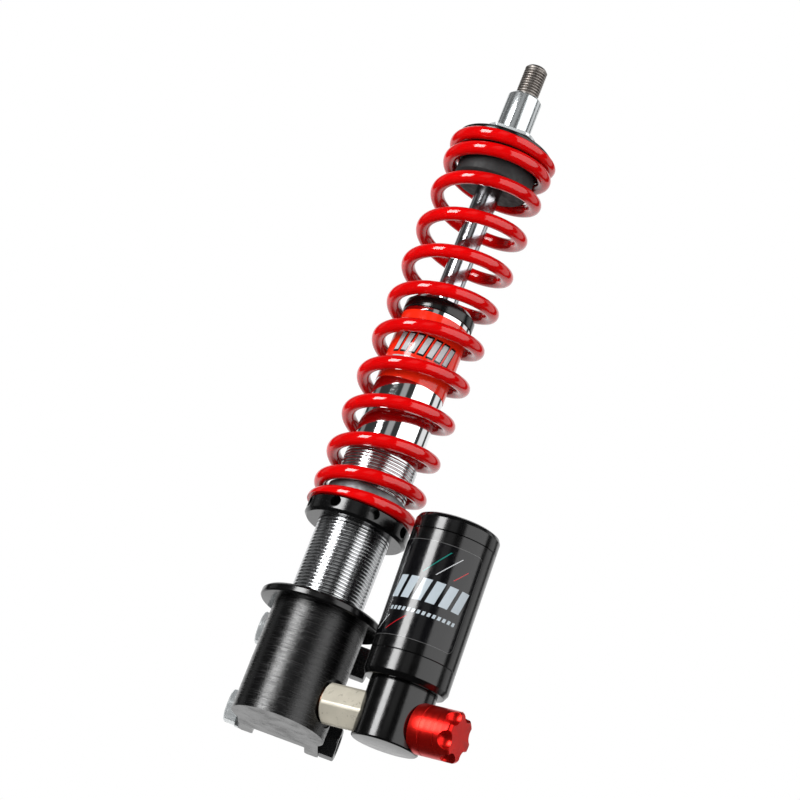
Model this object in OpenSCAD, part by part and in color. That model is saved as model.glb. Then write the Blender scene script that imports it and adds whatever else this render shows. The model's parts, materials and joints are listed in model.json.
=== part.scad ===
// Compact front coilover for a small scooter: spring over damper, with a remote gas reservoir.
// Frame: origin on the lower seat face between the clevis rails, +Y out of the clevis,
// +Z up along the damper. The damper axis stands at x = 0, y = -seat_depth.

/* [Lower mount] */
// radius of the round billet
mount_r = 20; // [19:0.5:21]
// damper axis to the seat face
seat_depth = 20.5; // [20:0.5:22]
// half width over the clevis rails
rail_half = 17.5; // [16.5:0.5:18.5]
// half width of the gap between the rails
gap_half = 11.5; // [10.5:0.5:12]
// rail length past the seat face
rail_len = 10; // [9.5:0.5:11]
// billet bottom below the origin
mount_low = 24.6; // [24:0.2:26]
// billet top above the origin
mount_top = 24; // [24:0.5:26]
// half spacing of the two clevis bolts
bolt_half = 17.8; // [16:0.1:18]
// flange disc radius
flange_r = 26.4; // [24:0.2:27]
// flange disc thickness
flange_t = 3.7; // [3:0.1:3.9]

/* [Damper] */
// tube outside radius
tube_r = 15; // [14.8:0.1:15.2]
// tube bore radius
tube_bore = 13; // [12.5:0.1:13.2]
// threaded length outside radius
thread_r = 15.6; // [15.4:0.05:15.8]
// height where the thread ends
thread_top = 96; // [90:1:100]
// height of the tube rim
tube_top = 162.7; // [160:0.1:164]
// rod radius
rod_r = 5.5; // [5:0.1:6]
// height of the stud end
stud_top = 290; // [286:0.5:294]

/* [Spring] */
// mean coil radius
coil_r = 20.7; // [20.5:0.1:21]
// wire radius
wire_r = 2.95; // [2.8:0.05:2.95]
// pitch of the working turns
coil_pitch = 17.95; // [17.6:0.01:17.98]
// wire centre height where the first turn is counted from
coil_z = 70.53; // [70.4:0.01:70.6]

/* [Perches] */
// adjusting collar radius
collar_r = 22.2; // [21.5:0.1:23]
// collar height
collar_h = 7; // [6:0.5:8]
// top of the collar
collar_top = 70; // [69:0.5:70]
// underside of the upper seat
seat_z = 246.7; // [246.6:0.1:247]
// upper seat radius
seat_r = 21.2; // [20:0.2:24]

/* [Reservoir] */
// reservoir axis to damper axis
res_dist = 49; // [48.5:0.5:52]
// direction of the link seen from above
link_dir = -25; // [-30:1:-20]
// height of the link axis
link_z = -10.4; // [-11:0.1:-10]
// lean of the reservoir about the link
res_lean = 3.8; // [0:0.1:4]
// reservoir body radius
res_r = 17.9; // [17.5:0.1:18.2]
// reservoir bore radius
res_bore = 15.5; // [15:0.1:15.8]
// lower housing radius
hous_r = 14.1; // [13.5:0.1:14.5]
// link hex width
link_af = 17; // [16:0.5:18]
// adjuster knob radius
knob_r = 10.4; // [9:0.2:10.4]

/* [Hidden] */
$fn = 96;
eps = 0.01;
run = 0.05;
// M8 clevis bolts and M10 top stud, with the plain shank under the stud's thread
bolt_r = 4;
bolt_af = 13;
stud_r = 5;
shank_r = 4.7;
stud_hole = 5.1;
shoulder_z = 274.5;
boss_z = 254.2;
flange_z = mount_top;
tube_foot = 4;
head_z = 148;
cap_h = 6.3;
spot_s = 19;
link_end = 38.9;
hous_low = -11.6;
hous_top = 13.7;
ring_top = 24.6;
res_top = 76.2;
cap_top = 83.8;
label_low = 29.6;
label_high = 71.1;
knob_z = -1;
knob_s = 61.3;
knob_len = 19;
flat_s = 60.9;
fp_z = 36;
piston_z = 108;
washer_t = 1.6;
head_t = 5.6;
nut_t = 6.5;
spring_turns = 11.85;
turn_0 = -0.2;
end_t = -0.35;
open_len = 2.8;
close_len = 2;
close_at = 9;
coil_clock = 185.6;

// ---- frames ----
module on_axis(z = 0) translate([0, -seat_depth, z]) children();
module on_link() translate([0, -seat_depth, link_z]) rotate([0, 0, link_dir]) children();
module on_res() on_link() rotate([res_lean, 0, 0]) children();
module along(s) translate([s, 0, 0]) rotate([0, 90, 0]) children();

module ring(ro, ri, z0, z1) translate([0, 0, z0]) difference() {
  cylinder(r = ro, h = z1 - z0);
  translate([0, 0, -1]) cylinder(r = ri, h = z1 - z0 + 2);
}
// turned body from [radius, height] pairs
module turned(pts) rotate_extrude() polygon(pts);
module hex(af, h) cylinder(r = af / 2 / cos(30), h = h, $fn = 6);

// ---- lower mount ----
module clevis_plan() polygon([[-rail_half, 0], [rail_half, 0], [rail_half, seat_depth + rail_len - 1],
  [rail_half - 1, seat_depth + rail_len], [gap_half + 1, seat_depth + rail_len],
  [gap_half, seat_depth + rail_len - 1], [gap_half, seat_depth], [-gap_half, seat_depth],
  [-gap_half, seat_depth + rail_len - 1], [-gap_half - 1, seat_depth + rail_len],
  [-rail_half + 1, seat_depth + rail_len], [-rail_half, seat_depth + rail_len - 1]]);

module lower_mount() color([0.06, 0.06, 0.065]) difference() {
  on_axis(-mount_low) union() {
    cylinder(r = mount_r, h = mount_low + mount_top);
    linear_extrude(height = mount_low + mount_top) clevis_plan();
  }
  on_axis(tube_foot) cylinder(r = tube_r, h = mount_top);
  on_axis(link_z - 1) cylinder(r = 2.5, h = tube_foot - link_z + 2);
  on_link() {
    along(0) cylinder(r = 2.4, h = 12);
    along(10) cylinder(r = 5, h = 14);
    along(spot_s - 0.8) cylinder(r = link_af / 2 + 1.6, h = 8);
  }
  for (z = [-bolt_half, bolt_half]) translate([0, rail_len / 2 - 0.2, z]) rotate([0, 90, 0])
    translate([0, 0, -30]) cylinder(r = bolt_r + 0.1, h = 60);
}
module lower_flange() color([0.05, 0.05, 0.055]) on_axis() difference() {
  turned([[0, flange_z], [flange_r - 0.6, flange_z], [flange_r, flange_z + 0.6],
    [flange_r, flange_z + flange_t - 1], [flange_r - 1, flange_z + flange_t], [0, flange_z + flange_t]]);
  translate([0, 0, flange_z - 1]) cylinder(r = tube_r + run, h = flange_t + 2);
}
module at_bolts() for (z = [-bolt_half, bolt_half])
  translate([0, rail_len / 2 - 0.2, z]) rotate([0, 90, 0]) children();
module mount_bolts() color([0.72, 0.74, 0.76]) at_bolts() {
  translate([0, 0, -rail_half - washer_t - head_t]) intersection() {
    hex(bolt_af, head_t);
    cylinder(r1 = bolt_af / 2, r2 = bolt_af / 2 + 6, h = head_t + eps);
  }
  translate([0, 0, -rail_half - washer_t]) cylinder(r = bolt_r, h = 2 * rail_half + washer_t + nut_t - 1.6);
  translate([0, 0, rail_half + nut_t - 1.6]) cylinder(r1 = bolt_r, r2 = bolt_r - 0.8, h = 0.9);
}
module bolt_washers() color([0.74, 0.75, 0.76]) at_bolts()
  ring(7.6, bolt_r + 0.2, -rail_half - washer_t, -rail_half);
module mount_nuts() color([0.06, 0.06, 0.06]) at_bolts() difference() {
  translate([0, 0, rail_half]) intersection() {
    hex(bolt_af, nut_t);
    cylinder(r1 = bolt_af / 2 + 6, r2 = bolt_af / 2 + 0.2, h = nut_t);
  }
  translate([0, 0, rail_half - 1]) cylinder(r = bolt_r, h = nut_t + 2);
}

// ---- damper ----
module damper_tube() color([0.8, 0.81, 0.82]) on_axis() difference() {
  turned([[0, tube_foot], [tube_r, tube_foot], [tube_r, flange_z + flange_t + 0.2],
    [thread_r, flange_z + flange_t + 0.8], [thread_r, thread_top - 0.6], [tube_r, thread_top],
    [tube_r, tube_top], [0, tube_top]]);
  translate([0, 0, tube_foot + 4]) cylinder(r = tube_bore, h = tube_top);
  translate([0, 0, tube_foot - 1]) cylinder(r = 2.5, h = 8);
}
module tube_label() color([0.86, 0.11, 0.05]) on_axis() ring(tube_r + 0.15, tube_r, 129, 160.8);
module seal_head() color([0.05, 0.05, 0.055]) on_axis() difference() {
  turned([[0, head_z], [tube_bore, head_z], [tube_bore, tube_top], [tube_r + 0.4, tube_top],
    [tube_r + 0.4, tube_top + cap_h - 2], [tube_r - 1.6, tube_top + cap_h], [0, tube_top + cap_h]]);
  translate([0, 0, head_z - 1]) cylinder(r = rod_r + 0.5, h = 30);
  translate([0, 0, head_z + 1.5]) cylinder(r = rod_r + 2, h = 11);
  translate([0, 0, tube_top + 1.5]) cylinder(r = rod_r + 3, h = 10);
}
module rod_bush() color([0.55, 0.43, 0.22]) on_axis() ring(rod_r + 2, rod_r + run, head_z + 1.5, head_z + 12.5);
module rod_wiper() color([0.03, 0.03, 0.03]) on_axis() ring(rod_r + 3, rod_r + run, tube_top + 1.5, tube_top + cap_h - 0.4);

// ---- link ----
module hex_link() color([0.72, 0.68, 0.52]) on_link() difference() {
  union() {
    along(spot_s) rotate([0, 0, -16]) intersection() {
      hex(link_af, link_end - spot_s);
      cylinder(r1 = link_af / 2 - 0.4, r2 = link_af / 2 + 40, h = link_end - spot_s);
    }
    along(10) cylinder(r = 5, h = link_end - 10);
    along(spot_s + 4) cylinder(r = 5, h = link_end + 5 - spot_s - 4);
  }
  along(9) cylinder(r = 2.4, h = link_end);
}
module link_seals() color([0.62, 0.36, 0.2]) on_link() {
  along(0) ring(7.5, 5.05, spot_s - 0.8, spot_s);
  along(0) ring(7.5, 5.05, link_end, link_end + 0.8);
}

// ---- reservoir ----
module res_axis() on_res() translate([res_dist, 0, 0]) children();
module reservoir_housing() color([0.03, 0.03, 0.035]) difference() {
  res_axis() turned([[0, hous_low], [hous_r - 0.6, hous_low], [hous_r, hous_low + 0.6],
    [hous_r, hous_top], [9, hous_top], [9, hous_top + 6], [0, hous_top + 6]]);
  res_axis() translate([0, 0, hous_low + 4]) cylinder(r = 4.5, h = 40);
  on_res() along(res_dist - 14) cylinder(r = 5, h = 13);
  on_res() along(link_end - 6) cylinder(r = link_af / 2 + 1.6, h = 6.8);
  on_res() translate([0, 0, knob_z]) along(res_dist) cylinder(r = 6.5, h = 20);
  on_res() translate([0, 0, knob_z]) along(flat_s) cylinder(r = knob_r + 0.6, h = 10);
}
module reservoir_ring() color([0.035, 0.035, 0.04]) res_axis() difference() {
  turned([[0, hous_top], [res_r - 1.2, hous_top], [res_r, hous_top + 2.2], [res_r, ring_top],
    [res_bore, ring_top], [res_bore, ring_top + 6], [0, ring_top + 6]]);
  translate([0, 0, hous_top - 1]) cylinder(r = 9, h = 8);
  translate([0, 0, hous_top + 6]) cylinder(r = 6, h = 30);
}
module reservoir_tube() color([0.03, 0.03, 0.035]) res_axis() ring(res_r, res_bore, ring_top, res_top);
module reservoir_cap() color([0.035, 0.035, 0.04]) res_axis() difference() {
  turned([[0, res_top - 6], [res_bore, res_top - 6], [res_bore, res_top], [res_r, res_top],
    [res_r, cap_top - 2.4], [res_r - 0.8, cap_top - 0.8], [res_r - 2.4, cap_top], [0, cap_top]]);
  translate([0, 0, cap_top - 5]) cylinder(r = 6, h = 8);
  translate([0, 0, res_top - 7]) cylinder(r = 2.6, h = 20);
}
module gas_valve() color([0.72, 0.6, 0.3]) res_axis() {
  translate([0, 0, res_top - 4]) cylinder(r = 2.6, h = 12);
  translate([0, 0, cap_top - 5]) hex(7, 1.6);
}
module reservoir_label() color([0.04, 0.04, 0.045]) res_axis() rotate([0, 0, 185])
  rotate_extrude(angle = 215) translate([res_r, label_low]) square([0.15, label_high - label_low]);
module adjuster_valve() color([0.7, 0.58, 0.3]) on_res() translate([0, 0, knob_z]) difference() {
  along(res_dist + 1) cylinder(r = 6.5, h = flat_s - res_dist - 1);
  along(res_dist) cylinder(r = 2 + run, h = 20);
}
module adjuster_needle() color([0.75, 0.76, 0.78]) on_res() translate([0, 0, knob_z]) {
  along(res_dist - 2.5) cylinder(r1 = 0.6, r2 = 2, h = 2.5);
  along(res_dist) cylinder(r = 2, h = knob_s + 12 - res_dist);
}
module adjuster_knob() color([0.78, 0.03, 0.04]) on_res() translate([0, 0, knob_z]) difference() {
  along(knob_s) turned([[0, 0], [knob_r - 0.4, 0], [knob_r, 0.4], [knob_r, knob_len - 1.5],
    [knob_r - 1.5, knob_len], [0, knob_len]]);
  along(knob_s - 1) cylinder(r = 2, h = 13);
  for (a = [0:60:300]) along(knob_s + 12) rotate([0, 0, a - 8]) translate([knob_r + 0.6, 0, 0])
    cylinder(r = 4, h = 20);
}
module floating_piston() color([0.75, 0.76, 0.78]) res_axis() difference() {
  turned([[0, fp_z], [15.1, fp_z], [15.1, fp_z + 5], [13, fp_z + 5], [13, fp_z + 9], [15.1, fp_z + 9],
    [15.1, fp_z + 14], [0, fp_z + 14]]);
  translate([0, 0, fp_z + 6]) cylinder(r = 9, h = 12);
}
module floating_ring() color([0.03, 0.03, 0.03]) res_axis() ring(res_bore - run, 13, fp_z + 5.2, fp_z + 8.8);

// ---- lower perch ----
module spring_collar() color([0.05, 0.05, 0.055]) on_axis() difference() {
  turned([[0, collar_top - collar_h], [collar_r - 1.2, collar_top - collar_h],
    [collar_r, collar_top - collar_h + 1.2], [collar_r, collar_top - 0.6], [collar_r - 0.6, collar_top],
    [0, collar_top]]);
  translate([0, 0, 40]) cylinder(r = thread_r + run, h = 60);
  for (a = [0:45:315]) rotate([0, 0, a + 19]) translate([collar_r - 4, 0, collar_top - 2.7])
    rotate([0, 90, 0]) cylinder(r = 2.4, h = 8);
}
module spring_sleeve() color([0.62, 0.62, 0.63]) on_axis() ring(17.1, thread_r + run, collar_top + 0.3, 79.5);

// ---- spring: closed and ground at both ends, pitch eased in and out ----
function ease(u) = u <= 0 ? 0 : u >= 1 ? u - 0.5 : u * u * u - u * u * u * u / 2;
end_pitch = 2 * wire_r + 0.15;
function coil_h(t) = coil_z + end_pitch * t + (coil_pitch - end_pitch)
  * (open_len * ease((t - end_t) / open_len) - close_len * ease((t - close_at) / close_len));
// heights past the ground faces are pressed to a fortieth, so the thin tips keep some thickness
function ground(z) = let (lo = collar_top + 0.3, hi = seat_z - 0.2)
  z < lo ? lo + (z - lo) / 40 : z > hi ? hi + (z - hi) / 40 : z;
steps = 20;
sides = 8;
function coil_pt(i, j) = let (t = turn_0 + spring_turns * i / ceil(steps * spring_turns),
    a = coil_clock + 360 * t, b = 360 * (j + 0.5) / sides, q = wire_r / sqrt(cos(180 / sides)))
  [(coil_r + q * cos(b)) * cos(a), (coil_r + q * cos(b)) * sin(a), ground(coil_h(t) + q * sin(b))];
module spring() color([0.8, 0.02, 0.02]) on_axis() {
  n = ceil(steps * spring_turns);
  pts = [for (i = [0:n]) for (j = [0:sides - 1]) coil_pt(i, j)];
  walls = [for (i = [0:n - 1]) for (j = [0:sides - 1]) let (k = (j + 1) % sides)
    each [[i * sides + j, i * sides + k, (i + 1) * sides + k], [i * sides + j, (i + 1) * sides + k, (i + 1) * sides + j]]];
  foot = [for (j = [1:sides - 2]) [0, j + 1, j]];
  tip = [for (j = [1:sides - 2]) [n * sides, n * sides + j, n * sides + j + 1]];
  polyhedron(points = pts, faces = concat(walls, foot, tip), convexity = 20);
}

// ---- rod and upper perch ----
module rod() color([0.8, 0.81, 0.83]) on_axis() turned([[0, piston_z - 9], [4, piston_z - 9],
  [4, piston_z + 17], [rod_r, piston_z + 17], [rod_r, seat_z], [shank_r, seat_z],
  [shank_r, shoulder_z], [stud_r, shoulder_z], [stud_r, stud_top - 1.6], [stud_r - 1.4, stud_top], [0, stud_top]]);
module upper_seat() color([0.05, 0.05, 0.055]) on_axis() difference() {
  turned([[0, seat_z], [seat_r, seat_z], [seat_r, seat_z + 1.8], [seat_r - 0.6, seat_z + 2.4],
    [13, seat_z + 4.4], [12.4, seat_z + 5.4], [12.4, boss_z], [0, boss_z]]);
  translate([0, 0, seat_z - 1]) cylinder(r = stud_hole, h = 10);
}
module bump_stop() color([0.09, 0.09, 0.095]) on_axis() difference() {
  turned([[0, 228.8], [15.6, 228.8], [16.8, 230], [16.8, seat_z - 1.4], [16.2, seat_z], [0, seat_z]]);
  translate([0, 0, 220]) cylinder(r = rod_r + 0.1, h = 40);
}
module top_spacer() color([0.78, 0.8, 0.81]) on_axis() difference() {
  intersection() {
    turned([[0, boss_z], [11.2, boss_z], [11.2, boss_z + 1.3], [10.9, boss_z + 1.6],
      [7.6, boss_z + 1.6], [7.6, shoulder_z - 1.2], [6.5, shoulder_z], [0, shoulder_z]]);
    translate([-15, -8.8, boss_z - 1]) cube([30, 17.6, 40]);
  }
  translate([0, 0, boss_z - 1]) cylinder(r = stud_hole, h = 40);
}
module damper_piston() color([0.6, 0.61, 0.63]) on_axis() difference() {
  turned([[0, piston_z], [12.5, piston_z], [12.5, piston_z + 4], [11.8, piston_z + 4],
    [11.8, piston_z + 10], [12.5, piston_z + 10], [12.5, piston_z + 14], [0, piston_z + 14]]);
  translate([0, 0, piston_z - 1]) cylinder(r = 4, h = 20);
  for (a = [0:60:300]) rotate([0, 0, a]) translate([8, 0, piston_z - 1]) cylinder(r = 1.5, h = 20);
}
module piston_band() color([0.3, 0.2, 0.12]) on_axis() ring(tube_bore - run, 11.8, piston_z + 4.1, piston_z + 9.9);
module shim_stack() color([0.7, 0.71, 0.73]) on_axis() difference() {
  union() {
    turned([[0, piston_z - 1.8], [6.5, piston_z - 1.8], [6.5, piston_z - 1.2], [8, piston_z - 1.2],
      [8, piston_z - 0.6], [9.8, piston_z - 0.6], [9.8, piston_z], [0, piston_z]]);
    turned([[0, piston_z + 14], [9.8, piston_z + 14], [9.8, piston_z + 14.8], [8, piston_z + 14.8],
      [8, piston_z + 15.9], [6.5, piston_z + 15.9], [6.5, piston_z + 17], [0, piston_z + 17]]);
  }
  translate([0, 0, piston_z - 5]) cylinder(r = 4, h = 40);
}
module piston_nut() color([0.5, 0.5, 0.52]) on_axis() difference() {
  translate([0, 0, piston_z - 8.3]) hex(13, 6.5);
  translate([0, 0, piston_z - 10]) cylinder(r = 4, h = 20);
}
module topout_spacer() color([0.85, 0.83, 0.76]) on_axis() ring(8.5, rod_r + 0.02, piston_z + 17.1, head_z - 0.4);

lower_mount();
lower_flange();
mount_bolts();
bolt_washers();
mount_nuts();
damper_tube();
tube_label();
seal_head();
rod_bush();
rod_wiper();
hex_link();
link_seals();
reservoir_housing();
reservoir_ring();
reservoir_tube();
reservoir_cap();
gas_valve();
reservoir_label();
adjuster_valve();
adjuster_needle();
adjuster_knob();
floating_piston();
floating_ring();
spring_collar();
spring_sleeve();
spring();
rod();
upper_seat();
bump_stop();
top_spacer();
damper_piston();
piston_band();
shim_stack();
piston_nut();
topout_spacer();
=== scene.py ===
"""Looks of a compact coilover with a remote gas reservoir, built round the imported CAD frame.

Lengths in this script are millimetres until a mesh is made; MM turns them into metres.
"""

import json
import math

import bpy
from mathutils import Matrix, Vector


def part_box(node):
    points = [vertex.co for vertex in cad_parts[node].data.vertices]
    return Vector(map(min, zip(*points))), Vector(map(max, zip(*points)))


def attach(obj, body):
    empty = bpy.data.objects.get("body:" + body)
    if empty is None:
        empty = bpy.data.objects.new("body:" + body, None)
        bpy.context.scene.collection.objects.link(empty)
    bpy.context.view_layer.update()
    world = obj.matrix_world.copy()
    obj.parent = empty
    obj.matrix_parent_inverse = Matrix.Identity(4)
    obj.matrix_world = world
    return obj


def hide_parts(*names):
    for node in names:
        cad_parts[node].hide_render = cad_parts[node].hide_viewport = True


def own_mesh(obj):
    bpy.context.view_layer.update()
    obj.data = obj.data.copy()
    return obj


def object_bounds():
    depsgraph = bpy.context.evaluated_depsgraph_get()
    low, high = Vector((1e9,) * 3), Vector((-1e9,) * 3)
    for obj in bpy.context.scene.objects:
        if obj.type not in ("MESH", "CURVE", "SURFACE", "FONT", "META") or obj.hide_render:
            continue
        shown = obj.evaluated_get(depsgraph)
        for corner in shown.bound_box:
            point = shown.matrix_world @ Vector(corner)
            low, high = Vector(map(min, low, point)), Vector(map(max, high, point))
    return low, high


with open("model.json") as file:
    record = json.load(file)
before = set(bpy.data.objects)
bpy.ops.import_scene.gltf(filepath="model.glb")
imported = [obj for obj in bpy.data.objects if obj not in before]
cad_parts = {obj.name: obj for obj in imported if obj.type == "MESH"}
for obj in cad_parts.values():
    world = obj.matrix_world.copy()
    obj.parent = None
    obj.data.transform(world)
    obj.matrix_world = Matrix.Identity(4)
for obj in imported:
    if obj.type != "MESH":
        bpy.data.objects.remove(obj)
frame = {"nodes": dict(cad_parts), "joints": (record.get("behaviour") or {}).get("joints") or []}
cad_low, cad_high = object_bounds()

MM = 0.001
JOINTS = {joint["name"]: joint for joint in frame["joints"]}


# ---- places, from the frame ----
def low(node):
    """Lowest corner of a CAD node's box, in millimetres."""
    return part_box(node)[0] / MM


def high(node):
    """Highest corner of a CAD node's box, in millimetres."""
    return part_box(node)[1] / MM


AXIS_XY = (low("top_spacer") + high("top_spacer")) / 2
DAMPER = Matrix.Translation((AXIS_XY.x, AXIS_XY.y, 0))
RES_UP = Vector(JOINTS["gas_piston_travel"]["axis"])
LINK_ALONG = Vector(JOINTS["adjuster_turn"]["axis"])
LINK_Z = -10.4      # height of the link's axis
RES_DIST = 49       # from the damper's axis to the reservoir's, along the link
KNOB_S = 61.3       # from the damper's axis to the knob's foot
RES_BASE = Vector((AXIS_XY.x, AXIS_XY.y, LINK_Z)) + RES_DIST * LINK_ALONG


def frame_of(origin, x_axis, z_axis):
    """Matrix of the frame with that origin, x axis and z axis."""
    z_axis = z_axis.normalized()
    y_axis = z_axis.cross(x_axis).normalized()
    x_axis = y_axis.cross(z_axis)
    turn = Matrix((x_axis, y_axis, z_axis)).transposed().to_4x4()
    return Matrix.Translation(origin) @ turn


RESERVOIR = frame_of(RES_BASE, LINK_ALONG, RES_UP)
KNOB_FOOT = RES_BASE + (KNOB_S - RES_DIST) * LINK_ALONG - RES_UP
KNOB = frame_of(KNOB_FOOT, RES_UP, LINK_ALONG)


# ---- mesh building ----
def make_piece(name, verts, faces, materials, body, place=Matrix.Identity(4), sharp=35, face_slots=None):
    """A mesh piece from millimetre points, riding on a CAD body."""
    mesh = bpy.data.meshes.new(name)
    mesh.from_pydata([(place @ Vector(v)) * MM for v in verts], [], faces)
    piece = bpy.data.objects.new(name, mesh)
    bpy.context.scene.collection.objects.link(piece)
    for mat in materials:
        mesh.materials.append(mat)
    if face_slots:
        mesh.polygons.foreach_set("material_index", face_slots)
    mesh.polygons.foreach_set("use_smooth", [True] * len(mesh.polygons))
    mesh.set_sharp_from_angle(angle=math.radians(sharp))
    mesh.update()
    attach(piece, body)
    return piece


def round_corners(points, radius, steps=3):
    """The outline with each inner corner turned into an arc of about that radius."""
    out = [points[0]]
    for before, at, after in zip(points, points[1:], points[2:]):
        p, a, b = Vector(at), Vector(before), Vector(after)
        u, v = a - p, b - p
        if u.length < 1e-6 or v.length < 1e-6:
            continue
        half = math.acos(max(-1.0, min(1.0, u.normalized().dot(v.normalized())))) / 2
        reach = min(radius / max(math.tan(half), 0.05), u.length * 0.45, v.length * 0.45)
        if half > math.radians(88):
            out.append(tuple(p))
            continue
        start, end = p + u.normalized() * reach, p + v.normalized() * reach
        for i in range(steps + 1):
            t = i / steps
            out.append(tuple(start * (1 - t) ** 2 + p * 2 * t * (1 - t) + end * t * t))
    out.append(points[-1])
    return out


def lathe(profile, sides=128):
    """Verts and faces of a turned skin from [radius, height] pairs. A pair on the axis closes it."""
    verts, rows = [], []
    for r, z in profile:
        if r < 1e-6:
            rows.append([len(verts)] * sides)
            verts.append((0, 0, z))
        else:
            rows.append(list(range(len(verts), len(verts) + sides)))
            verts += [(r * math.cos(a), r * math.sin(a), z)
                      for a in (2 * math.pi * i / sides for i in range(sides))]
    faces = []
    for lower, upper in zip(rows, rows[1:]):
        for i in range(sides):
            k = (i + 1) % sides
            ring = [lower[i], lower[k], upper[k], upper[i]]
            faces.append([v for n, v in enumerate(ring) if v not in ring[:n]])
    return verts, [f for f in faces if len(f) > 2]


def turned(node, profile, radius, materials, body, place=DAMPER):
    """A turned piece with eased edges that takes the place of its CAD node."""
    verts, faces = lathe(round_corners(profile, radius))
    return stand_in(node, verts, faces, materials, body, place)


def stand_in(node, verts, faces, materials, body, place, sharp=35, slots=None):
    """A piece drawn in place of a CAD node, which it hides, in the materials it is given."""
    piece = make_piece(node + "_skin", verts, faces, materials, body, place, sharp, slots)
    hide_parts(node)
    return piece


def skin(rows, sides=96):
    """Verts and faces of a closed skin from [height, radius at an angle] rows."""
    verts = []
    for z, radius_at in rows:
        for a in (2 * math.pi * i / sides for i in range(sides)):
            r = radius_at(a)
            verts.append((r * math.cos(a), r * math.sin(a), z))
    foot, top, last = len(verts), len(verts) + 1, (len(rows) - 1) * sides
    verts += [(0, 0, rows[0][0]), (0, 0, rows[-1][0])]
    faces = []
    for i in range(sides):
        k = (i + 1) % sides
        faces += [[j * sides + i, j * sides + k, (j + 1) * sides + k, (j + 1) * sides + i]
                  for j in range(len(rows) - 1)]
        faces += [[k, i, foot], [last + i, last + k, top]]
    return verts, faces


def hexagon(across, limit, turn=0):
    """Radius of a hexagon at an angle, with its corners cut at a limit radius."""
    def radius_at(angle):
        off = (angle - math.radians(turn)) % (math.pi / 3) - math.pi / 6
        return min(across / 2 / math.cos(off), limit)
    return radius_at


V_THREAD = ((0.0, 0.0), (0.2, 0.04), (0.42, 0.9), (0.58, 1.0), (0.82, 0.1))
FLAT_THREAD = ((0.0, 0.0), (0.25, 0.03), (0.48, 0.2), (0.62, 0.9), (0.76, 1.0), (0.9, 0.2))


def thread(major, depth, pitch, z0, z1, sides=72, shape=V_THREAD):
    """Verts and faces of a helical thread's skin between two heights, with runout at both ends."""
    steps = len(shape)
    turns = math.ceil((z1 - z0) / pitch) + 2
    verts, faces = [], []
    columns = turns * steps + 1
    for i in range(sides + 1):
        share = i / sides
        a = 2 * math.pi * share
        for j in range(columns):
            at, cut = shape[j % steps]
            z = z0 + (j // steps - 1 + at + share) * pitch
            z = min(max(z, z0), z1)
            fade = min(1.0, (z - z0) / pitch, (z1 - z) / pitch)
            r = major - depth * cut * fade
            verts.append((r * math.cos(a), r * math.sin(a), z))
    for i in range(sides):
        for j in range(columns - 1):
            p, q = i * columns + j, (i + 1) * columns + j
            ring = [p, q, q + 1, p + 1]
            heights = [verts[k][2] for k in ring]
            if max(heights) - min(heights) > 1e-5:
                faces.append(ring)
    return verts, faces


def joined(*parts):
    """Several (verts, faces, slot) skins as one, with each face's material slot."""
    verts, faces, slots = [], [], []
    for part_verts, part_faces, slot in parts:
        base = len(verts)
        verts += part_verts
        faces += [[base + v for v in f] for f in part_faces]
        slots += [slot] * len(part_faces)
    return verts, faces, slots


# ---- materials ----
def new_material(name, color, metallic=0.0, roughness=0.4):
    """(material, node tree, shader) of a fresh Principled material."""
    mat = bpy.data.materials.new(name)
    mat.use_nodes = True
    tree = mat.node_tree
    shader = tree.nodes["Principled BSDF"]
    shader.inputs["Base Color"].default_value = (*color, 1)
    shader.inputs["Metallic"].default_value = metallic
    shader.inputs["Roughness"].default_value = roughness
    return mat, tree, shader


def add(tree, kind, links=(), **settings):
    """A node with its settings, and its inputs set to values or linked to sockets."""
    made = tree.nodes.new(kind)
    for key, value in settings.items():
        setattr(made, key, value)
    for socket, value in dict(links).items():
        if isinstance(value, bpy.types.NodeSocket):
            tree.links.new(value, made.inputs[socket])
        else:
            made.inputs[socket].default_value = value
    return made


def points(tree, scale=(1, 1, 1), turn=None):
    """Object coordinates, turned into a part's own frame and then stretched."""
    at = add(tree, "ShaderNodeTexCoord").outputs["Object"]
    if turn is not None:
        at = add(tree, "ShaderNodeMapping", {"Vector": at, "Rotation": turn}).outputs["Vector"]
    return add(tree, "ShaderNodeMapping", {"Vector": at, "Scale": scale}).outputs["Vector"]


def noise(tree, scale, detail=3.0, rough=0.55, stretch=(1, 1, 1), turn=None):
    """A 0..1 noise pattern over the object, stretched or turned into a part's own frame."""
    made = add(tree, "ShaderNodeTexNoise", {
        "Vector": points(tree, stretch, turn), "Scale": scale, "Detail": detail, "Roughness": rough})
    return made.outputs["Fac"]


def spread(tree, value, lowest, highest, start=0.3, end=0.7):
    """A 0..1 pattern turned into a range of numbers."""
    made = add(tree, "ShaderNodeMapRange", {
        "Value": value, "From Min": start, "From Max": end, "To Min": lowest, "To Max": highest})
    return made.outputs["Result"]


def mixed(tree, factor, first, second):
    """A colour between two, by a pattern."""
    made = add(tree, "ShaderNodeMix", data_type="RGBA")
    tree.links.new(factor, made.inputs["Factor"])
    made.inputs["A"].default_value = (*first, 1)
    made.inputs["B"].default_value = (*second, 1)
    return made.outputs["Result"]


def bump(tree, shader, height, strength, distance):
    """Relief on the shader from a 0..1 pattern."""
    made = add(tree, "ShaderNodeBump", {"Height": height, "Strength": strength, "Distance": distance})
    tree.links.new(made.outputs["Normal"], shader.inputs["Normal"])


def red_powder_coat():
    """Glossy red paint, a little uneven in shade."""
    mat, tree, shader = new_material(
        "red_powder_coat", (0.46, 0.0003, 0.0006), roughness=0.08)
    shade = spread(tree, noise(tree, 60, 4), 0, 1, 0.35, 0.65)
    tree.links.new(mixed(tree, shade, (0.43, 0.0003, 0.0006), (0.50, 0.0004, 0.0008)), shader.inputs["Base Color"])
    bump(tree, shader, noise(tree, 420, 2), 0.06, 0.0001)
    return mat


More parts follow.
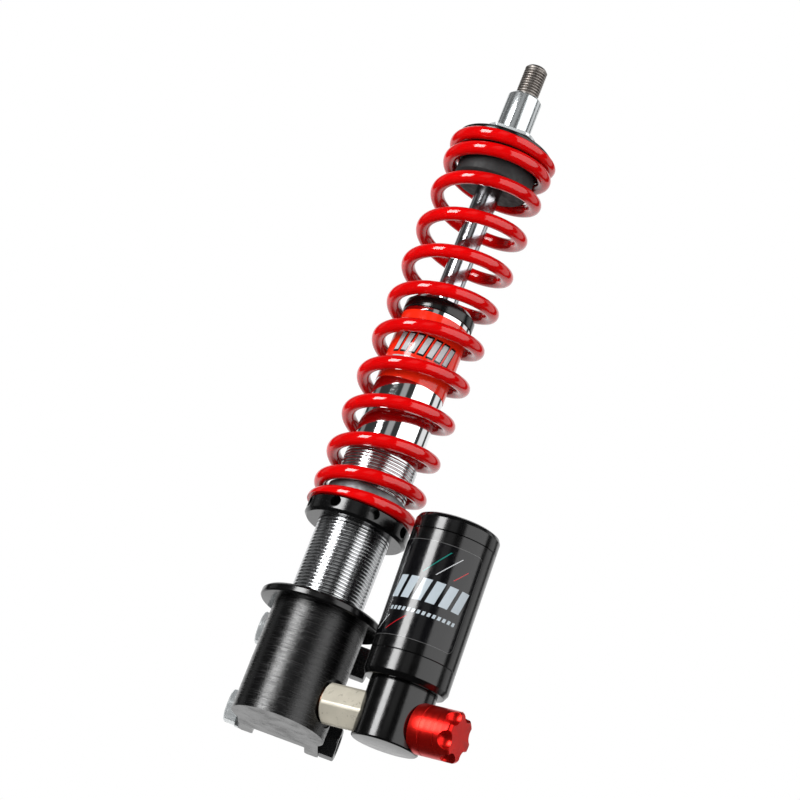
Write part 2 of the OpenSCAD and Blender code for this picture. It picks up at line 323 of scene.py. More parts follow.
def plated(name, color, roughness=0.07, scratch=0.05, along=(1, 1, 1), metallic=1.0):
    """Bright metal with fine wiping marks."""
    mat, tree, shader = new_material(name, color, metallic=metallic, roughness=roughness)
    marks = noise(tree, 900, 3, stretch=along)
    tree.links.new(spread(tree, marks, roughness * 0.75, roughness * 1.5), shader.inputs["Roughness"])
    cloud = spread(tree, noise(tree, 35, 4), 0, 1, 0.35, 0.65)
    darker = tuple(c * 0.92 for c in color)
    tree.links.new(mixed(tree, cloud, darker, color), shader.inputs["Base Color"])
    if scratch:
        bump(tree, shader, marks, scratch, 0.0001)
    return mat


def turned_black(name, roughness, streak, grey=0.002):
    """Black anodised metal. The lathe's marks run round the axis and roughen the shine in streaks."""
    mat, tree, shader = new_material(name, (grey, grey, grey * 1.05), roughness=roughness)
    rings = noise(tree, 1500, 4, 0.7, (0.07, 0.07, 1))
    tree.links.new(spread(tree, rings, roughness * (1 - streak * 0.5), roughness * (1 + streak * 1.1), 0.38, 0.62),
                   shader.inputs["Roughness"])
    bump(tree, shader, rings, min(1.0, streak), 0.0002)
    return mat


def gloss_black(name, roughness=0.17, grey=0.001):
    """Bright black anodised metal with a trace of dust in its shine."""
    mat, tree, shader = new_material(name, (grey, grey, grey * 1.1), roughness=roughness)
    dust = spread(tree, noise(tree, 300, 6, 0.7), roughness * 0.8, roughness * 1.3)
    tree.links.new(dust, shader.inputs["Roughness"])
    bump(tree, shader, noise(tree, 160, 2), 0.03, 0.0001)
    return mat


def rough_solid(name, color, roughness, grain=500, strength=0.3, metallic=0.0, vary=0.8):
    """A moulded or tumbled surface with a fine grain."""
    mat, tree, shader = new_material(name, color, metallic=metallic, roughness=roughness)
    cloud = spread(tree, noise(tree, grain * 0.25, 5), 0, 1, 0.3, 0.7)
    darker = tuple(c * vary for c in color)
    tree.links.new(mixed(tree, cloud, darker, color), shader.inputs["Base Color"])
    tree.links.new(spread(tree, noise(tree, grain, 3), roughness * 0.85, min(roughness * 1.2, 1)),
                   shader.inputs["Roughness"])
    if strength:
        bump(tree, shader, noise(tree, grain, 4, 0.6), strength, 0.0002)
    return mat


def red_anodised():
    """Dyed aluminium, with fine marks round the knob's own axis."""
    mat, tree, shader = new_material("red_anodised", (0.66, 0.012, 0.008), metallic=0.9, roughness=0.3)
    own = KNOB.to_3x3().inverted().to_euler()
    rings = noise(tree, 900, 4, 0.6, (0.04, 0.04, 1), own)
    tree.links.new(spread(tree, rings, 0.26, 0.38), shader.inputs["Roughness"])
    cloud = spread(tree, noise(tree, 90, 3, turn=own), 0, 1)
    tree.links.new(mixed(tree, cloud, (0.58, 0.008, 0.006), (0.70, 0.016, 0.010)), shader.inputs["Base Color"])
    bump(tree, shader, rings, 0.08, 0.0001)
    return mat


def film(name, color, roughness=0.12):
    """Printed gloss film."""
    mat, tree, shader = new_material(name, color, roughness=roughness)
    bump(tree, shader, noise(tree, 220, 2), 0.04, 0.0001)
    tree.links.new(spread(tree, noise(tree, 500, 4), roughness * 0.8, roughness * 1.4), shader.inputs["Roughness"])
    return mat


RED = red_powder_coat()
CHROME = plated("polished_chrome", (0.80, 0.81, 0.82), 0.06, 0.02)
THREAD_STEEL = plated("thread_chrome", (0.58, 0.59, 0.60), 0.17, 0.1)
ZINC = plated("bright_zinc", (0.60, 0.63, 0.64), 0.17, 0, (1, 1, 0.06), 0.92)
BOLT_ZINC = plated("bolt_zinc", (0.66, 0.69, 0.70), 0.2, 0, (1, 0.2, 0.2), 0.6)
ROD_CHROME = plated("rod_chrome", (0.56, 0.56, 0.59), 0.15, 0)
YELLOW_ZINC = rough_solid("yellow_zinc", (0.46, 0.43, 0.355), 0.3, 420, 0, 0.25, 0.8)
STUD_STEEL = plated("stud_steel", (0.30, 0.275, 0.255), 0.38, 0.2)
TUMBLED = rough_solid("tumbled_aluminium", (0.28, 0.28, 0.29), 0.5, 700, 1.0, 0.85, 0.3)
TURNED_BLACK = turned_black("turned_black", 0.18, 0.75)
SATIN_BLACK = turned_black("satin_black", 0.15, 0.2)
GLOSS_BLACK = gloss_black("gloss_black")
OXIDE_BLACK = rough_solid("oxide_black", (0.011, 0.011, 0.012), 0.26, 600, 0.1, 0.3)
URETHANE = rough_solid("urethane", (0.009, 0.009, 0.0095), 0.62, 420, 0.25)
RUBBER = rough_solid("rubber", (0.012, 0.012, 0.012), 0.6, 500, 0.3)
KNOB_RED = red_anodised()
RED_FILM = film("red_film", (0.62, 0.016, 0.004))
BLACK_FILM = film("black_film", (0.0015, 0.0015, 0.002), 0.14)
WHITE_INK = film("white_ink", (0.36, 0.37, 0.38))
PALE_INK = film("pale_ink", (0.30, 0.34, 0.37))
BLACK_INK = film("black_ink", (0.003, 0.003, 0.003))
TEAL_INK = film("teal_ink", (0.004, 0.11, 0.09))
RED_INK = film("red_ink", (0.32, 0.004, 0.008))
GREY_INK = film("grey_ink", (0.05, 0.05, 0.05))
BRONZE = rough_solid("bronze", (0.42, 0.29, 0.12), 0.35, 500, 0.2, 1.0)
BRASS = rough_solid("brass", (0.62, 0.45, 0.18), 0.25, 600, 0.1, 1.0)
COPPER = rough_solid("copper", (0.62, 0.26, 0.13), 0.3, 500, 0.15, 1.0)
MACHINED = plated("machined_metal", (0.62, 0.63, 0.65), 0.22, 0.1)
BAND = rough_solid("filled_band", (0.16, 0.09, 0.05), 0.5, 500, 0.2)
ACETAL = rough_solid("acetal", (0.70, 0.67, 0.58), 0.45, 400, 0.1)

NODE_MATERIALS = {
    "lower_mount": TURNED_BLACK, "lower_flange": SATIN_BLACK, "mount_bolts": BOLT_ZINC,
    "bolt_washers": ZINC, "mount_nuts": OXIDE_BLACK, "damper_tube": CHROME, "tube_label": RED_FILM,
    "seal_head": SATIN_BLACK, "rod_bush": BRONZE, "rod_wiper": RUBBER, "hex_link": YELLOW_ZINC,
    "link_seals": COPPER, "reservoir_housing": GLOSS_BLACK, "reservoir_ring": GLOSS_BLACK,
    "reservoir_tube": GLOSS_BLACK, "reservoir_cap": GLOSS_BLACK, "gas_valve": BRASS,
    "reservoir_label": BLACK_FILM, "adjuster_valve": BRASS, "adjuster_needle": MACHINED,
    "adjuster_knob": KNOB_RED, "floating_piston": MACHINED, "floating_ring": RUBBER,
    "spring_collar": SATIN_BLACK, "spring_sleeve": TUMBLED, "spring": RED, "rod": CHROME,
    "upper_seat": SATIN_BLACK, "bump_stop": URETHANE, "top_spacer": ZINC,
    "damper_piston": MACHINED, "piston_band": BAND, "shim_stack": MACHINED, "piston_nut": MACHINED,
    "topout_spacer": ACETAL,
}
for name, mat in NODE_MATERIALS.items():
    mesh = frame["nodes"][name].data
    mesh.materials.clear()
    mesh.materials.append(mat)


# ---- spring: lengths in millimetres, places along the wire in turns ----
COIL_R = 20.7
WIRE_R = 2.95
COIL_PITCH = 17.95
END_PITCH = 2 * WIRE_R + 0.15
COIL_Z = 70.53
TURN_0 = -0.2
TURNS = 11.85
OPEN_AT, OPEN_LEN = -0.35, 2.8
CLOSE_AT, CLOSE_LEN = 9.0, 2.0
COIL_CLOCK = math.radians(185.6)
GROUND_LOW = high("spring_collar").z + 0.3
GROUND_HIGH = low("upper_seat").z - 0.2


def ease(u):
    """Integral of a smooth step, so the pitch grows evenly."""
    return 0 if u <= 0 else u - 0.5 if u >= 1 else u ** 3 - u ** 4 / 2


def coil_height(turn):
    """Height of the wire's middle, with the pitch eased out of and into the closed ends."""
    eased = OPEN_LEN * ease((turn - OPEN_AT) / OPEN_LEN) - CLOSE_LEN * ease((turn - CLOSE_AT) / CLOSE_LEN)
    return COIL_Z + END_PITCH * turn + (COIL_PITCH - END_PITCH) * eased


def ground(z):
    """Height of a wire point, with what is past the ground end faces pressed almost flat."""
    if z < GROUND_LOW:
        return GROUND_LOW + (z - GROUND_LOW) / 40
    return GROUND_HIGH + (z - GROUND_HIGH) / 40 if z > GROUND_HIGH else z


def spring_piece():
    """The wire swept round its helix, with ground end faces and a small edge break at the tips."""
    steps, sides, nose = 56, 32, 0.3
    count = math.ceil(steps * TURNS)
    stations = [(TURN_0, WIRE_R - nose), (TURN_0 + 0.003, WIRE_R)]
    stations += [(TURN_0 + TURNS * i / count, WIRE_R) for i in range(1, count)]
    stations += [(TURN_0 + TURNS - 0.003, WIRE_R), (TURN_0 + TURNS, WIRE_R - nose)]
    verts = []
    for turn, wire in stations:
        a = COIL_CLOCK + 2 * math.pi * turn
        for j in range(sides):
            b = 2 * math.pi * j / sides
            r = COIL_R + wire * math.cos(b)
            verts.append((r * math.cos(a), r * math.sin(a), ground(coil_height(turn) + wire * math.sin(b))))
    faces = []
    for i in range(len(stations) - 1):
        for j in range(sides):
            k = (j + 1) % sides
            faces.append([i * sides + j, i * sides + k, (i + 1) * sides + k, (i + 1) * sides + j])
    last = (len(stations) - 1) * sides
    faces += [list(range(sides))[::-1], list(range(last, last + sides))]
    return stand_in("spring", verts, faces, [RED], "perch", DAMPER, 40)


spring = spring_piece()
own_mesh(spring)


# ---- damper tube ----
TUBE_R = 15
TUBE_BORE = 13
THREAD_R = 15.6
THREAD_PITCH = 1.5
THREAD_DEPTH = 0.32
THREAD_LOW = 28.5
THREAD_TOP = 96


def damper_tube_piece():
    """The pressure tube: plain above, threaded below, and open at its rim."""
    foot, rim = low("damper_tube").z, high("damper_tube").z
    lower = lathe([(0, foot), (TUBE_R - 0.4, foot), (TUBE_R, foot + 0.4), (TUBE_R, THREAD_LOW - 0.6),
                   (THREAD_R, THREAD_LOW)], 96)
    upper = lathe(round_corners([(THREAD_R, THREAD_TOP), (TUBE_R, THREAD_TOP + 0.4), (TUBE_R, rim),
                                 (TUBE_BORE, rim), (TUBE_BORE, foot + 4), (0, foot + 4)], 0.2), 128)
    ridges = thread(THREAD_R, THREAD_DEPTH, THREAD_PITCH, THREAD_LOW, THREAD_TOP, 96, FLAT_THREAD)
    verts, faces, slots = joined((*lower, 0), (*ridges, 1), (*upper, 0))
    stand_in("damper_tube", verts, faces, [CHROME, THREAD_STEEL], "damper_body", DAMPER, 60, slots)


damper_tube_piece()


# ---- rod and stud ----
ROD_R = 5.5
STUD_R = 5
SHANK_R = 4.7
STUD_PITCH = 1.25
STUD_DEPTH = 0.62


def rod_pieces():
    """The chromed rod, and the threaded stud on its end."""
    foot, tip = low("rod").z, high("rod").z
    seat, shoulder = low("upper_seat").z, high("top_spacer").z
    verts, faces = lathe(round_corners([(0, foot), (4, foot), (4, foot + 26), (ROD_R, foot + 26), (ROD_R, seat),
                                        (SHANK_R, seat), (SHANK_R, shoulder), (0, shoulder)], 0.3), 96)
    stand_in("rod", verts, faces, [ROD_CHROME], "rod_assembly", DAMPER)
    top = tip - 1.6
    ridges = thread(STUD_R, STUD_DEPTH, STUD_PITCH, shoulder + 0.1, top, 64)
    crown = lathe(round_corners([(STUD_R, top), (STUD_R - 0.9, tip - 0.5), (STUD_R - 1.9, tip), (0, tip)], 0.4), 64)
    foot_ring = lathe([(0, shoulder + 0.1), (STUD_R, shoulder + 0.1)], 64)
    verts, faces, _ = joined((*ridges, 0), (*crown, 0), (*foot_ring, 0))
    stud = make_piece("top_stud", verts, faces, [STUD_STEEL], "rod_assembly", DAMPER, 60)


rod_pieces()


# ---- turned parts on the damper axis ----
FLANGE_LOW, FLANGE_TOP, FLANGE_R = 24, 27.7, 26.4
FILM = 0.15
TUBE_LABEL_LOW, TUBE_LABEL_TOP = 129, 160.8
SEAL_LOW, SEAL_RIM, SEAL_TOP = 148, 162.7, 169
SLEEVE_LOW, SLEEVE_TOP, SLEEVE_R = 70.3, 79.5, 17.1
BUMP_LOW = 228.8
SEAT_R = 21.2
SPACER_R, SPACER_FLANGE_R, SPACER_FLATS = 7.6, 11.2, 8.8


def damper_parts():
    """Flange, label, seal head, sleeve, upper seat, bump stop and the spacer with its two-flat flange."""
    seat, boss, shoulder = low("upper_seat").z, high("upper_seat").z, high("top_spacer").z
    bore = TUBE_R + 0.05
    turned("lower_flange", [(bore, FLANGE_LOW), (FLANGE_R - 0.6, FLANGE_LOW), (FLANGE_R, FLANGE_LOW + 0.6),
                            (FLANGE_R, FLANGE_TOP - 1), (FLANGE_R - 1, FLANGE_TOP), (bore, FLANGE_TOP),
                            (bore, FLANGE_LOW)], 0.35, [SATIN_BLACK], "damper_body")
    turned("tube_label", [(TUBE_R, TUBE_LABEL_LOW), (TUBE_R + FILM, TUBE_LABEL_LOW),
                          (TUBE_R + FILM, TUBE_LABEL_TOP), (TUBE_R, TUBE_LABEL_TOP)], 0.03,
           [RED_FILM], "damper_body")
    turned("seal_head", [(6, SEAL_LOW), (TUBE_BORE, SEAL_LOW), (TUBE_BORE, SEAL_RIM), (15.4, SEAL_RIM),
                         (15.4, SEAL_TOP - 2), (13.4, SEAL_TOP), (8.5, SEAL_TOP), (8.5, SEAL_RIM + 1.5),
                         (6, SEAL_RIM + 1.5), (6, SEAL_LOW)], 0.4, [SATIN_BLACK], "damper_body")
    inner = THREAD_R + 0.05
    turned("spring_sleeve", [(inner, SLEEVE_LOW), (SLEEVE_R, SLEEVE_LOW), (SLEEVE_R, SLEEVE_TOP),
                             (inner, SLEEVE_TOP), (inner, SLEEVE_LOW)], 0.5, [TUMBLED], "perch")
    turned("upper_seat", [(5.1, seat), (SEAT_R, seat), (SEAT_R, seat + 1.8), (SEAT_R - 0.6, seat + 2.4),
                          (13.6, seat + 5), (10.5, seat + 6.2), (8.7, seat + 6.6), (8.7, boss), (5.1, boss),
                          (5.1, seat)], 0.35, [SATIN_BLACK], "rod_assembly")
    turned("bump_stop", [(5.6, BUMP_LOW), (15.6, BUMP_LOW), (16.8, BUMP_LOW + 1.2), (16.8, seat - 1.4),
                         (16.2, seat), (5.6, seat), (5.6, BUMP_LOW)], 0.8, [URETHANE], "rod_assembly")
    body = lathe(round_corners([(5.1, boss + 1.6), (SPACER_R, boss + 1.6), (SPACER_R, shoulder - 1.2),
                                (6.5, shoulder), (5.1, shoulder), (5.1, boss + 1.6)], 0.3), 96)

    def plate(edge):
        """Outline of the flange, drawn in by an edge."""
        return lambda angle: min(SPACER_FLANGE_R - edge,
                                 (SPACER_FLATS - edge) / max(abs(math.sin(angle)), 0.1))

    flange = skin([(boss, plate(0.2)), (boss + 0.2, plate(0)), (boss + 1.3, plate(0)), (boss + 1.6, plate(0.3))])
    verts, faces, slots = joined((*body, 0), (*flange, 1))
    stand_in("top_spacer", verts, faces, [ZINC, BOLT_ZINC], "rod_assembly", DAMPER, 35, slots)


damper_parts()


# ---- reservoir ----
RES_R = 17.9
RES_BORE = 15.5
SEAM = 0.22         # edge break that shows where two pieces meet
HOUSING_R = 14.1
HOUSING_LOW, HOUSING_TOP = -11.6, 13.7


def reservoir_parts():
    """Housing, ring, tube and cap, with fine seams between them."""
    rim, top, cap = 24.6, 76.2, 83.8
    outlines = {
        "reservoir_housing": (0.4, [
            (0, HOUSING_LOW), (HOUSING_R - 0.6, HOUSING_LOW), (HOUSING_R, HOUSING_LOW + 0.6),
            (HOUSING_R, HOUSING_TOP), (9, HOUSING_TOP), (9, HOUSING_TOP + 6), (0, HOUSING_TOP + 6)]),
        "reservoir_ring": (0.3, [
            (9, HOUSING_TOP), (RES_R - 1.2, HOUSING_TOP), (RES_R, HOUSING_TOP + 2.2), (RES_R, rim - SEAM),
            (RES_R - SEAM, rim), (9, rim), (9, HOUSING_TOP)]),
        "reservoir_tube": (0.1, [
            (RES_BORE, rim), (RES_R - SEAM, rim), (RES_R, rim + SEAM), (RES_R, top - SEAM),
            (RES_R - SEAM, top), (RES_BORE, top), (RES_BORE, rim)]),
        "reservoir_cap": (0.5, [
            (0, top - 6), (RES_BORE, top - 6), (RES_BORE, top), (RES_R - SEAM, top), (RES_R, top + SEAM),
            (RES_R, cap - 2.4), (RES_R - 0.8, cap - 0.8), (RES_R - 2.4, cap), (6, cap), (6, cap - 5),
            (0, cap - 5)]),
    }
    for node, (radius, outline) in outlines.items():
        turned(node, outline, radius, [GLOSS_BLACK], "damper_body", RESERVOIR)


reservoir_parts()


# ---- adjuster knob ----
KNOB_R = 10.4
KNOB_LEN = 19
SCOOP_R = 4
SCOOP_AXIS = 11     # from the knob's axis to a scoop's
SCOOP_NOSE = 18.2   # where a scoop's round nose has its middle
SCOOP_CLOCK = 8     # turn of the six scoops, in degrees


def knob():
    """Plain at its foot, with six round-nosed scoops cut in from the outer face."""
    def row(z, edge):
        """Outline of the knob at a height, from its plain edge."""
        nose = max(0.0, SCOOP_NOSE - z)
        reach = math.sqrt(max(SCOOP_R ** 2 - nose * nose, 0.0))

        def radius_at(angle):
            off = (angle + math.radians(SCOOP_CLOCK + 30)) % (math.pi / 3) - math.pi / 6
            side = SCOOP_AXIS * math.sin(off)
            if abs(side) >= reach:
                return edge
            return min(edge, SCOOP_AXIS * math.cos(off) - math.sqrt(reach * reach - side * side))
        return z, radius_at

    rows = [row(0, KNOB_R - 0.4), row(0.15, KNOB_R - 0.12), row(0.4, KNOB_R)]
    rows += [row(4.9, KNOB_R), row(5, KNOB_R - 0.12), row(5.15, KNOB_R - 0.12), row(5.25, KNOB_R)]
    rows += [row(13.6 + 4 * i / 39, KNOB_R) for i in range(40)]
    rows += [row(17.9, KNOB_R - 0.12), row(18.4, KNOB_R - 0.5), row(18.75, KNOB_R - 0.95), row(18.95, KNOB_R - 1.3),
             row(KNOB_LEN, KNOB_R - 1.6)]
    verts, faces = skin(rows, 300)
    stand_in("adjuster_knob", verts, faces, [KNOB_RED], "adjuster", KNOB, 30)


knob()


# ---- hexagons: link, bolt heads and nuts ----
LINK_ACROSS, LINK_CORNER, LINK_CLOCK = 17, 9.4, -16
LINK_START, LINK_END = 19, 38.9
BOLT_ACROSS, BOLT_CORNER, BOLT_R = 13, 7.35, 4
BOLT_Y, BOLT_SPREAD = 4.8, 17.8


def hex_parts():
    """The link with its spigots, the two bolts through the rails, and their nuts."""
    link = frame_of(Vector((AXIS_XY.x, AXIS_XY.y, LINK_Z)), Vector((0, 0, -1)), LINK_ALONG)
    body = skin([(s, hexagon(LINK_ACROSS, limit, LINK_CLOCK)) for s, limit in
                 ((LINK_START, 8.1), (19.3, 8.7), (19.7, 9.1), (20.2, LINK_CORNER), (LINK_END, LINK_CORNER))], 300)
    spigot = skin([(10, lambda a: 5), (LINK_END + 5, lambda a: 5)], 48)
    verts, faces, _ = joined((*body, 0), (*spigot, 0))
    stand_in("hex_link", verts, faces, [YELLOW_ZINC], "damper_body", link, 12)

    def corners(*rows):
        """Rows of a bolt's hexagon from (place along it, corner radius) pairs."""
        return [(s, hexagon(BOLT_ACROSS, limit, 30)) for s, limit in rows]

    heads, nuts = [], []
    seat = low("mount_nuts").x
    for height in (-BOLT_SPREAD, BOLT_SPREAD):
        place = frame_of(Vector((AXIS_XY.x, BOLT_Y, height)), Vector((0, 0, -1)), Vector((1, 0, 0)))
        head = skin(corners((-seat - 7.2, 5.6), (-seat - 7.2, 6.1), (-seat - 6.8, 6.9), (-seat - 6.3, BOLT_CORNER),
                            (-seat - 1.9, BOLT_CORNER), (-seat - 1.6, 6.6)), 120)
        shank = skin([(-seat - 1.6, lambda a: BOLT_R), (seat + 4.9, lambda a: BOLT_R),
                      (seat + 5.8, lambda a: BOLT_R - 0.8)], 48)
        nut = skin(corners((seat, 6.7), (seat + 0.4, BOLT_CORNER), (seat + 5.9, BOLT_CORNER), (seat + 6.3, 6.9),
                           (seat + 6.5, 6.3))
                   + [(seat + 6.5, lambda a: 4.5), (seat + 6.0, lambda a: 4.05), (seat + 4.6, lambda a: 4.05)], 120)
        for skins, part in ((heads, head), (heads, shank), (nuts, nut)):
            skins.append(([place @ Vector(v) for v in part[0]], part[1], 0))
    for node, skins, mat in (("mount_bolts", heads, BOLT_ZINC), ("mount_nuts", nuts, OXIDE_BLACK)):
        verts, faces, _ = joined(*skins)
        stand_in(node, verts, faces, [mat], "damper_body", Matrix.Identity(4), 20)


hex_parts()


# ---- printed films ----
def wrapped(shapes, radius, lift):
    """Slanted blocks wrapped round a cylinder. A shape is (angle at its foot, width angle, low, high,
    lean angle, slot), with angles in degrees."""
    verts, faces, slots = [], [], []
    for start, width, z0, z1, lean, slot in shapes:
        across, up = max(2, math.ceil(abs(width) / 2.5)), max(1, math.ceil(abs(lean) / 3))
        base = len(verts)
        for j in range(up + 1):
            for i in range(across + 1):
                a = math.radians(start + width * i / across + lean * j / up)
                r = radius + lift
                verts.append((r * math.cos(a), r * math.sin(a), z0 + (z1 - z0) * j / up))
        row = across + 1
        for j in range(up):
            for i in range(across):
                p = base + j * row + i
                faces.append([p, p + 1, p + row + 1, p + row])
                slots.append(slot)
    return verts, faces, slots


FRONT = 270     # bearing that the tube's graphics are laid out from, in degrees


def tube_graphics():
    """A plain row of leaning bars with a dark edge and a thin rule under it."""
    edge, fill = [], []
    for i in range(7):
        start = FRONT - 50 + 15 * i
        edge.append((start - 1.4, 11.8, 140.6, 150.4, 7.5, 0))
        fill.append((start, 9, 141.5, 149.5, 6.2, 1))
    rules = [(FRONT - 48, 96, 138.4, 139.1, 0, 1)]
    radius = high("tube_label").x - AXIS_XY.x
    back = wrapped(edge, radius, 0.02)
    front = wrapped(fill + rules, radius, 0.05)
    verts, faces, slots = joined((back[0], back[1], 0), (front[0], front[1], 1))
    piece = make_piece("tube_label_print", verts, faces, [BLACK_INK, WHITE_INK], "damper_body", DAMPER, 60, slots)


tube_graphics()

FACING = -59.1  # bearing that the reservoir's graphics are laid out from, in degrees
PANEL_START, PANEL_END = 172.0, 347.0
PANEL_LOW, PANEL_TOP, PANEL_CORNER = 29.6, 71.1, 3.0


def label_panel(inset, lift):
    """The reservoir's label with two round corners at its free end, drawn in by an inset."""
    start, end = PANEL_START, PANEL_END
    bottom, top, corner = PANEL_LOW + inset, PANEL_TOP - inset, PANEL_CORNER - inset
    reach = RES_R + lift
    gap = math.degrees(inset / reach)
    turn = math.degrees(corner / reach)
    stops = [start + gap + (end - turn - start - gap) * i / 60 for i in range(60)]
    stops += [end - gap - turn + turn * i / 12 for i in range(13)]
    verts = []
    for at in stops:
        past = max(0.0, (at - (end - gap - turn)) / turn) * corner
        drop = corner - math.sqrt(max(corner * corner - past * past, 0))
        a = math.radians(at)
        verts += [(reach * math.cos(a), reach * math.sin(a), bottom + drop),
                  (reach * math.cos(a), reach * math.sin(a), top - drop)]
    return verts, [[2 * i, 2 * i + 2, 2 * i + 3, 2 * i + 1] for i in range(len(stops) - 1)]


def reservoir_graphics():
    """A black panel with a fine edge, leaning bars, a dashed rule and three pinstripes."""
    edge, panel = label_panel(0, 0.12), label_panel(0.3, FILM)
    verts, faces, slots = joined((*edge, 0), (*panel, 1))
    stand_in("reservoir_label", verts, faces, [GREY_INK, BLACK_FILM], "damper_body", RESERVOIR, 35, slots)
    bars = [(FACING - 68 + 18 * i, 12.5, 45.7, 55.2, 7, 0) for i in range(6)]
    bars += [(FACING - 62 + 7 * i, 4.2, 40.3, 41.9, 1.2, 0) for i in range(14)]
    white = [(FACING - 12, 1.5, 57.6, 67.1, 27, 0), (FACING - 78, 1.5, 32, 38, 18, 0)]
    teal = [(FACING - 30, 2.0, 57.6, 68.1, 28, 0)]
    red = [(FACING + 12, 1.6, 57.6, 63.1, 16, 0), (FACING - 58, 1.6, 32, 38.5, 26, 0)]
    parts = []
    for slot, shapes in enumerate((bars, white, teal, red)):
        verts, faces, _ = wrapped(shapes, RES_R + FILM, 0.03)
        parts.append((verts, faces, slot))
    verts, faces, slots = joined(*parts)
    piece = make_piece("reservoir_label_print", verts, faces, [PALE_INK, WHITE_INK, TEAL_INK, RED_INK],
                       "damper_body", RESERVOIR, 60, slots)


reservoir_graphics()


# ---- stage, light and camera ----
FLOOR_Z = -0.42


def floor():
    """A wide pale floor under the object."""
    mat, tree, shader = new_material("floor_paint", (0.86, 0.86, 0.86), roughness=0.9)
    tree.links.new(spread(tree, noise(tree, 3, 2), 0.85, 0.95), shader.inputs["Roughness"])
    mesh = bpy.data.meshes.new("floor")
    half = 12
    mesh.from_pydata([(-half, -half, FLOOR_Z), (half, -half, FLOOR_Z), (half, half, FLOOR_Z),
                      (-half, half, FLOOR_Z)], [], [[0, 1, 2, 3]])
    mesh.materials.append(mat)
    piece = bpy.data.objects.new("floor", mesh)
    bpy.context.scene.collection.objects.link(piece)
    piece.visible_glossy = False


def window(tree, value, start, end, soft):
    """1 between two numbers and 0 outside, with soft edges."""
    rise = add(tree, "ShaderNodeMapRange", {"Value": value, "From Min": start - soft, "From Max": start + soft},
               interpolation_type="SMOOTHSTEP")
    fall = add(tree, "ShaderNodeMapRange", {"Value": value, "From Min": end - soft, "From Max": end + soft,
                                            "To Min": 1.0, "To Max": 0.0}, interpolation_type="SMOOTHSTEP")
    both = add(tree, "ShaderNodeMath", {0: rise.outputs[0], 1: fall.outputs[0]}, operation="MULTIPLY")
    return both.outputs[0]


def summed(tree, first, second, operation="ADD"):
    """Two values joined by a maths operation."""
    return add(tree, "ShaderNodeMath", {0: first, 1: second}, operation=operation).outputs[0]


# A studio panel is (bearing start, bearing end, elevation start, elevation end, strength), in degrees,
# with bearings from -Y towards +X.
PANELS = [(-20, -1, 0, 60, 0.35), (102, 128, -20, 50, 0.9), (-120, -100, -10, 60, 0.2),
          (142, 181, -35, 50, 0.95), (-181, -138, -35, 50, 0.95)]
ROOM = 0.04
FILL = 0.3


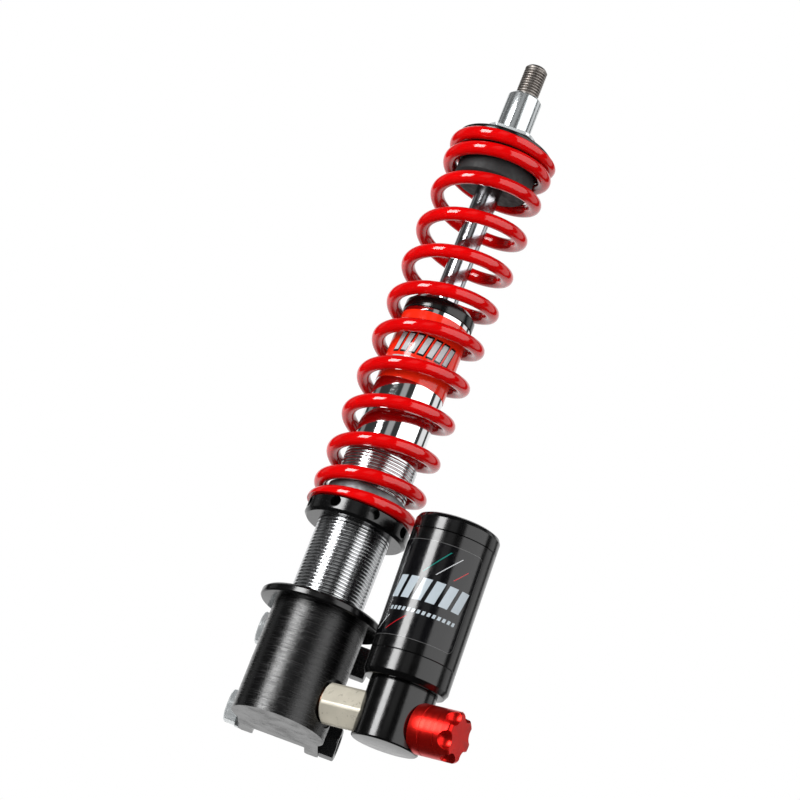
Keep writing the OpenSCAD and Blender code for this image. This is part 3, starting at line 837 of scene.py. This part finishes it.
def studio_world():
    """White to the eye, and a dim studio with pale panels to everything that reflects."""
    world = bpy.data.worlds.new("studio")
    bpy.context.scene.world = world
    world.use_nodes = True
    tree = world.node_tree
    tree.nodes.clear()
    place = add(tree, "ShaderNodeTexCoord")
    parts = add(tree, "ShaderNodeSeparateXYZ", {0: place.outputs["Generated"]})
    behind = summed(tree, parts.outputs["Y"], -1.0, "MULTIPLY")
    bearing = summed(tree, parts.outputs["X"], behind, "ARCTAN2")
    bearing = summed(tree, bearing, 180 / math.pi, "MULTIPLY")
    rise = add(tree, "ShaderNodeMath", {0: parts.outputs["Z"]}, operation="ARCSINE").outputs[0]
    rise = summed(tree, rise, 180 / math.pi, "MULTIPLY")
    total = None
    for start, end, bottom, top, strength in PANELS:
        panel = summed(tree, window(tree, bearing, start, end, 3), window(tree, rise, bottom, top, 6),
                       "MULTIPLY")
        panel = summed(tree, panel, strength, "MULTIPLY")
        total = panel if total is None else summed(tree, total, panel)
    total = summed(tree, total, ROOM)
    dim = add(tree, "ShaderNodeBackground", {"Color": (1, 1, 1, 1), "Strength": total})
    white = add(tree, "ShaderNodeBackground", {"Color": (1, 1, 1, 1), "Strength": 1.0})
    eye = add(tree, "ShaderNodeLightPath")
    fill = add(tree, "ShaderNodeBackground", {"Color": (1, 1, 1, 1), "Strength": FILL})
    soft = add(tree, "ShaderNodeMixShader", {0: eye.outputs["Is Diffuse Ray"], 1: dim.outputs[0],
                                             2: fill.outputs[0]})
    both = add(tree, "ShaderNodeMixShader", {0: eye.outputs["Is Camera Ray"], 1: soft.outputs[0],
                                             2: white.outputs[0]})
    add(tree, "ShaderNodeOutputWorld", {"Surface": both.outputs[0]})
    world.cycles.sampling_method = "NONE"


def softbox(name, bearing, elevation, width, height, radiance, distance=2.2):
    """A rectangular light that faces the middle of the object. Its width and height are angles in degrees."""
    centre = (cad_low + cad_high) / 2
    b, e = math.radians(bearing), math.radians(elevation)
    out = Vector((math.sin(b) * math.cos(e), -math.cos(b) * math.cos(e), math.sin(e)))
    data = bpy.data.lights.new(name, "AREA")
    data.shape = "RECTANGLE"
    data.size = 2 * distance * math.tan(math.radians(width / 2))
    data.size_y = 2 * distance * math.tan(math.radians(height / 2))
    data.energy = radiance * math.pi * data.size * data.size_y
    lamp = bpy.data.objects.new(name, data)
    lamp.location = centre + out * distance
    lamp.rotation_euler = out.to_track_quat("Z", "Y").to_euler()
    lamp.visible_camera = False
    bpy.context.scene.collection.objects.link(lamp)


CAMERA_AT = (0.1281, -1.2828, -0.3062)
CAMERA_BEARING, CAMERA_RISE, CAMERA_ROLL = -5.905, 18.744, 21.644
CAMERA_LENS, CAMERA_SENSOR = 143.5, 36


def camera():
    """A camera below and in front of the object that looks up at it, rolled to lean it."""
    data = bpy.data.cameras.new("camera")
    data.lens = CAMERA_LENS
    data.sensor_width = CAMERA_SENSOR
    data.clip_start, data.clip_end = 0.01, 100
    eye = bpy.data.objects.new("camera", data)
    eye.location = CAMERA_AT
    bearing, rise, roll = (math.radians(a) for a in (CAMERA_BEARING, CAMERA_RISE, CAMERA_ROLL))
    ahead = Vector((math.sin(bearing) * math.cos(rise), math.cos(bearing) * math.cos(rise), math.sin(rise)))
    turn = ahead.to_track_quat("-Z", "Y").to_matrix()
    eye.rotation_euler = (turn @ Matrix.Rotation(roll, 3, "Z")).to_euler()
    bpy.context.scene.collection.objects.link(eye)
    bpy.context.scene.camera = eye


floor()
studio_world()
softbox("strip_light", bearing=-46, elevation=5, width=21, height=40, radiance=16)
softbox("key_light", bearing=53, elevation=12, width=64, height=84, radiance=2.1)
camera()
bpy.context.scene.view_settings.view_transform = "Standard"
